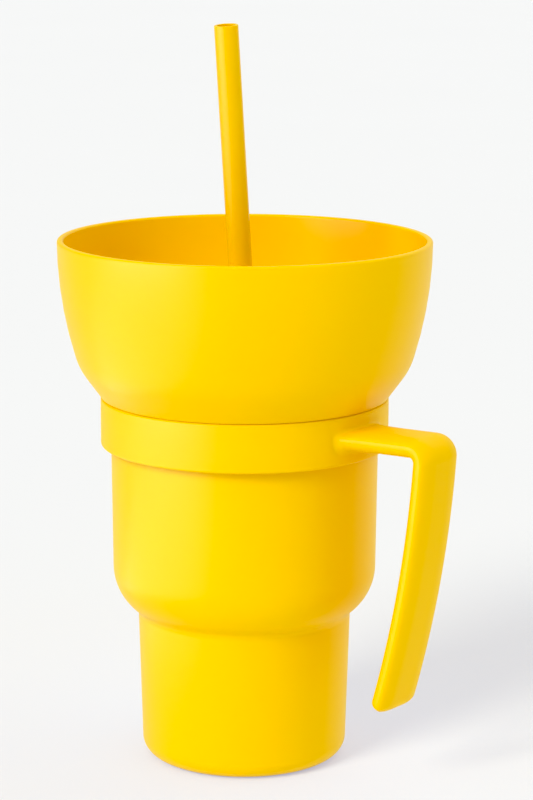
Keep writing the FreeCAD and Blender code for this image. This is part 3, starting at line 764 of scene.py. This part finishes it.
def pull(bm, loop, step, steps):
    """Extrude a loop in equal straight steps and return the last loop's edges."""
    made = bmesh.ops.spin(bm, geom=loop, cent=(0, 0, 0), axis=(1, 0, 0), angle=0, dvec=step, steps=steps)
    return made["geom_last"]


def make_root(bm, start):
    """Pull the strap's section inwards and lay all of it on the collar."""
    points = [vert for edge in start for vert in edge.verts]
    flare_end = pull(bm, start + list(set(points)), (-root_run * MM / ROOT_STEPS, 0, 0), ROOT_STEPS)
    pull(bm, flare_end, (-root_turn * MM / ROOT_STEPS, 0, 0), ROOT_STEPS)
    for vert in bm.verts:
        vert.co = lay_on_collar(vert.co / MM) * MM


# %% [markdown]
# Arm, bend, grip and tip
#
# From the same start the section goes on outwards. One spin makes the bend, and a second spin about a centre
# far behind the cup makes the slow bow of the grip. The free end is a soft dome: its loops are extruded one by
# one, each narrower than the one before, along quarter ellipses.

# %% Sweep the arm and the grip
arm_length, handle_bend = 29.2, 4.5
grip_tilt, grip_bow, grip_end_height = 4.2, 395.0, 27.7
tip_depth, tip_side_rounding, tip_face_rounding = 3.2, 5.0, 2.8
BEND_STEPS, GRIP_STEPS, TIP_STEPS = 28, 48, 10

lean = math.radians(grip_tilt)
flare_reach = collar_radius + flare_length
arm_end = collar_radius + arm_length - handle_bend * (1 + math.sin(tilt))
arm_end_height = arm_axis_height + arm_end * math.tan(tilt)
bend_centre = Vector((arm_end + handle_bend * math.sin(tilt), 0,
                      arm_end_height - handle_bend * math.cos(tilt)))
bow_centre = bend_centre - (grip_bow - handle_bend) * Vector((math.cos(lean), 0, -math.sin(lean)))
grip_sweep = math.asin((bow_centre.z - grip_end_height) / grip_bow) - lean - tip_depth / grip_bow
print("grip sweeps", round(math.degrees(grip_sweep), 2), "degrees about", bow_centre)


def tip_frame():
    """The grip's end, with axes across the strap, out of its face and on along the grip."""
    turn = lean + grip_sweep
    outward = Vector((math.cos(turn), 0, -math.sin(turn)))
    along = Vector((-math.sin(turn), 0, -math.cos(turn)))
    frame_at_tip = Matrix((Vector((0, 1, 0)), outward, along)).transposed().to_4x4()
    frame_at_tip.translation = (bow_centre + grip_bow * outward) * MM
    return frame_at_tip


def tip_loop(step):
    """Half the width, half the thickness and the reach of one loop of the dome, in millimetres."""
    turn = math.pi / 2 * step / TIP_STEPS
    drawn_in = 1 - math.cos(turn)
    return Vector((strap_width / 2 - tip_side_rounding * drawn_in,
                   strap_thickness / 2 - tip_face_rounding * drawn_in, tip_depth * math.sin(turn)))


def round_tip(bm, loop):
    """Close the free end with a dome."""
    at_tip = tip_frame()
    for step in range(TIP_STEPS):
        before, after = tip_loop(step), tip_loop(step + 1)
        shrink = Matrix.Diagonal((after.x / before.x, after.y / before.y, 1, 1))
        push = Matrix.Translation((0, 0, (after.z - before.z) * MM))
        made = bmesh.ops.extrude_edge_only(bm, edges=loop)["geom"]
        bmesh.ops.transform(bm, matrix=at_tip @ push @ shrink @ at_tip.inverted(), verts=verts_of(made))
        loop = edges_of(made)
    bmesh.ops.contextual_create(bm, geom=loop)


def make_handle():
    """The handle with its root loop left open."""
    bm = bmesh.new()
    start = strap_loop(bm)
    make_root(bm, start)
    arm = bmesh.ops.extrude_edge_only(bm, edges=start)["geom"]
    run = arm_end - flare_reach
    bmesh.ops.translate(bm, verts=verts_of(arm), vec=Vector((run, 0, run * math.tan(tilt))) * MM)
    arm_middle = Vector((arm_end, 0, arm_end_height)) * MM
    bmesh.ops.rotate(bm, verts=verts_of(arm), cent=arm_middle, matrix=Matrix.Rotation(-tilt, 3, "Y"))
    bend = bmesh.ops.spin(bm, geom=verts_of(arm) + edges_of(arm), cent=bend_centre * MM, axis=(0, 1, 0),
                          angle=math.pi / 2 + lean + tilt, steps=BEND_STEPS)["geom_last"]
    grip = bmesh.ops.spin(bm, geom=bend, cent=bow_centre * MM, axis=(0, 1, 0),
                          angle=grip_sweep, steps=GRIP_STEPS)["geom_last"]
    round_tip(bm, edges_of(grip))
    return bm


# %% [markdown]
# Sewing the handle to the collar
#
# The ring and the handle are one moulding, so a patch of the ring's wall is cut out and the hole is filled up
# to the root's last loop. A general fill may run triangles straight across the curved wall and flatten it.
# Going round both loops at once, as a zip fastener does, keeps every triangle short, and all its points lie on
# the wall, so the seam can't be seen.

# %% Join the handle and the ring
PATCH_MARGIN, WALL_MARGIN = 1.6, 0.2
FACING_HANDLE, LEVEL_LIMIT = 0.5, 0.001
root_height = ledge_height + arm_rise


def open_verts(bm):
    """The vertices on the open edges of a mesh."""
    return {vert for edge in bm.edges if edge.is_boundary for vert in edge.verts}


def way_round(vert):
    """How far round the root a vertex lies, and its height where two lie equally far."""
    return math.atan2(vert.co.z - root_height * MM, vert.co.y), vert.co.z


def zip_wall(bm, hole, root):
    """Fill the wall between the hole and the root, going round both at once."""
    last = {True: max(hole, key=way_round), False: max(root, key=way_round)}
    for vert in sorted(hole | root, key=way_round):
        on_hole = vert in hole
        bm.faces.new((last[on_hole], vert, last[not on_hole]))
        last[on_hole] = vert


def sew(ring, handle):
    """Put the handle into the ring's mesh and close the wall round its root."""
    spare = bpy.data.meshes.new("spare")
    handle.to_mesh(spare)
    handle.free()
    half_patch = strap_width / 2 + flare_spread + root_rounding + PATCH_MARGIN
    patch = [face for face in ring.faces
             if face.normal.x > FACING_HANDLE and abs(face.normal.z) < LEVEL_LIMIT
             and abs(face.calc_center_median().y) < half_patch * MM
             and face.calc_center_median().xy.length > (collar_radius - WALL_MARGIN) * MM]
    print("wall faces cut out:", len(patch))
    bmesh.ops.delete(ring, geom=patch, context="FACES_ONLY")
    bmesh.ops.delete(ring, geom=[edge for edge in ring.edges if edge.is_wire], context="EDGES")
    hole = open_verts(ring)
    ring.from_mesh(spare)
    bpy.data.meshes.remove(spare)
    zip_wall(ring, hole, open_verts(ring) - hole)
    close_mesh(ring)
    print("open edges left:", sum(edge.is_boundary for edge in ring.edges))
    return ring


collar_and_handle = sew(collar_ring, make_handle())
piece("collar_and_handle", collar_and_handle, "collar", matte_yellow, "handle_collar")

# %% [markdown]
# Floor and light
#
# The floor is matte white, and it glows a little by itself: painted light that lifts the floor and keeps its
# shadows pale. The glow is bluer close to the cup, painted to cancel the yellow light that the cup throws on
# the floor, and the floor's own colour has a little less blue, so that its shadows stay grey. A large lamp
# that faces up lights the undersides. The key light stands far away at the left and in front, so a sun lamp
# with a wide disc gives the same even light and the same soft shadow. The room fills the rest from all sides.
# A screen and a card at the left are seen only in reflections: they put a pale sheen on the left of every
# round wall.

# %% The floor and its painted glow
FLOOR_SIZE = 40.0
TABLE_WHITE, TABLE_SHADE = (0.55, 0.553, 0.445, 1.0), (0.54, 0.543, 0.435, 1.0)
# Painted glow of the floor: its colour far from the cup, its colour close to the cup, and its strength.
PAINTED_GLOW_FAR, PAINTED_GLOW_BY_CUP, PAINTED_GLOW_STRENGTH = (0.663, 0.675, 1.0, 1.0), (0.66, 0.84, 1.45, 1.0), 0.384
BLUE_REACH = 0.2


def white_table_painted_glow():
    """Matte white with a trace of mottling, and a painted glow that turns bluer close to the cup."""
    finish = Finish("white_table_painted_glow")
    place = finish.place()
    mottle = finish.noise(place, 3.0, 2.0)
    distance = finish.node("ShaderNodeVectorMath", {"operation": "LENGTH"}, {0: place}, "Value")
    nearness = (1.0 - distance * (1.0 / BLUE_REACH)).at_least(0.0)
    return finish.plastic({
        "Base Color": finish.mix(mottle, TABLE_WHITE, TABLE_SHADE),
        "Roughness": 0.9,
        "Specular IOR Level": 0.1,
        # Painted light: the floor glows, and the glow turns bluer close to the cup to cancel its yellow light.
        "Emission Color": finish.mix(nearness * nearness, PAINTED_GLOW_FAR, PAINTED_GLOW_BY_CUP),
        "Emission Strength": PAINTED_GLOW_STRENGTH,
    })


def add_floor():
    """A plain floor under the cup."""
    bm = bmesh.new()
    bmesh.ops.create_grid(bm, x_segments=8, y_segments=8, size=FLOOR_SIZE / 2)
    mesh = bpy.data.meshes.new("floor")
    bm.to_mesh(mesh)
    bm.free()
    mesh.materials.append(white_table_painted_glow())
    floor = bpy.data.objects.new("floor", mesh)
    bpy.context.scene.collection.objects.link(floor)


add_floor()

# %% Lamps and room
CAMERA_AZIMUTH = math.radians(38.0)
KEY_PLACE, KEY_STRENGTH, KEY_DISC = (-1.3, -1.45, 1.4), 2.0, math.radians(23.0)
SCREEN_PLACE, SCREEN_SIZE, SCREEN_POWER = (-1.45, -0.75, 0.26), (1.6, 0.5), 45.0
CARD_PLACE, CARD_SIZE, CARD_POWER = (-0.55, -0.35, 0.004), (0.8, 0.9), 9.0
TABLE_LAMP_PLACE, TABLE_LAMP_SIZE, TABLE_LAMP_POWER = (0.0, 0.0, 0.001), (3.0, 3.0), 5.2
ROOM_BASE, ROOM_UP, ROOM_SIDE = 0.25, 0.7, 0.75
SIDE_WAY = (0.866, 0.5, 0.0)
BLUE_BLACK, AIM_HEIGHT = 0.03, 0.1


def from_camera(right, away, up):
    """A point given as seen from the camera's side, in the part's frame."""
    return Matrix.Rotation(CAMERA_AZIMUTH, 3, "Z") @ Vector((right, away, up))


def lamp(name, kind, place, energy):
    """A lamp that faces the cup."""
    made = bpy.data.objects.new(name, bpy.data.lights.new(name, kind))
    made.data.energy = energy
    made.location = place
    made.rotation_euler = (Vector((0, 0, AIM_HEIGHT)) - place).to_track_quat("-Z", "Y").to_euler()
    bpy.context.scene.collection.objects.link(made)
    return made


def panel(name, place, size, power):
    """A rectangular lamp that faces the cup and isn't seen itself."""
    made = lamp(name, "AREA", from_camera(*place), power)
    made.data.shape = "RECTANGLE"
    made.data.size, made.data.size_y = size
    made.visible_camera = False
    return made


def add_lamps():
    """The key light, the screen and the card that only reflections see, and the light from the table."""
    key = lamp("key", "SUN", from_camera(*KEY_PLACE), KEY_STRENGTH)
    key.data.angle = KEY_DISC
    screen = panel("screen", SCREEN_PLACE, SCREEN_SIZE, SCREEN_POWER)
    card = panel("card", CARD_PLACE, CARD_SIZE, CARD_POWER)
    table = panel("table", TABLE_LAMP_PLACE, TABLE_LAMP_SIZE, TABLE_LAMP_POWER)
    card.rotation_euler = table.rotation_euler = (math.pi, 0, CAMERA_AZIMUTH)
    screen.visible_diffuse = card.visible_diffuse = False
    table.visible_glossy = False


def light_room():
    """Light from all round, brighter from above and from behind at the right."""
    world = bpy.data.worlds.new("white_room")
    room = Nodes(world)
    way = room.node("ShaderNodeTexCoord", out="Generated")
    up = room.node("ShaderNodeVectorMath", {"operation": "DOT_PRODUCT"}, {0: way, 1: (0, 0, 1)}, "Value")
    side = room.node("ShaderNodeVectorMath", {"operation": "DOT_PRODUCT"},
                     {0: way, 1: from_camera(*SIDE_WAY)}, "Value")
    bright = ROOM_BASE + ROOM_UP * up.at_least(0.0) + ROOM_SIDE * side.at_least(0.0)
    glow = room.node("ShaderNodeBackground", None, {"Color": (1.0, 1.0, 1.0, 1.0), "Strength": bright})
    room.node("ShaderNodeOutputWorld", None, {"Surface": glow}, None)
    bpy.context.scene.world = world


light_room()
add_lamps()
view = bpy.context.scene.view_settings
view.view_transform = "Standard"
view.use_curve_mapping = True
view.curve_mapping.black_level = (0.0, 0.0, BLUE_BLACK)
view.curve_mapping.update()

# %% [markdown]
# The camera
#
# The camera stands where the photographer stood: about 0.9 m away and 0.3 m up, with a long lens. The tilt,
# the small turn to the right and the small roll come from fitting a perspective camera to the outlines.

# %% Place the camera
CAMERA_DISTANCE, CAMERA_HEIGHT = 0.89866, 0.30698
CAMERA_DOWN, CAMERA_TURN, CAMERA_ROLL = math.radians(11.527), math.radians(0.470), math.radians(0.204)
SENSOR, LENS = 36.0, 121.68

camera = bpy.data.objects.new("camera", bpy.data.cameras.new("camera"))
camera.data.sensor_width = SENSOR
camera.data.lens = LENS
camera.data.clip_end = 100.0
camera.location = from_camera(0.0, -CAMERA_DISTANCE, CAMERA_HEIGHT)
looking = from_camera(math.sin(CAMERA_TURN) * math.cos(CAMERA_DOWN),
                      math.cos(CAMERA_TURN) * math.cos(CAMERA_DOWN), -math.sin(CAMERA_DOWN))
roll = Quaternion((0, 0, 1), CAMERA_ROLL)
camera.rotation_euler = (looking.to_track_quat("-Z", "Y") @ roll).to_euler()
bpy.context.scene.collection.objects.link(camera)
bpy.context.scene.camera = camera
print("camera at", camera.location)

# %% [markdown]
# The last update
#
# Last, the view layer is updated. The dressed cup has to stay inside the imported model's box.

# %% Update the scene
bpy.context.view_layer.update()
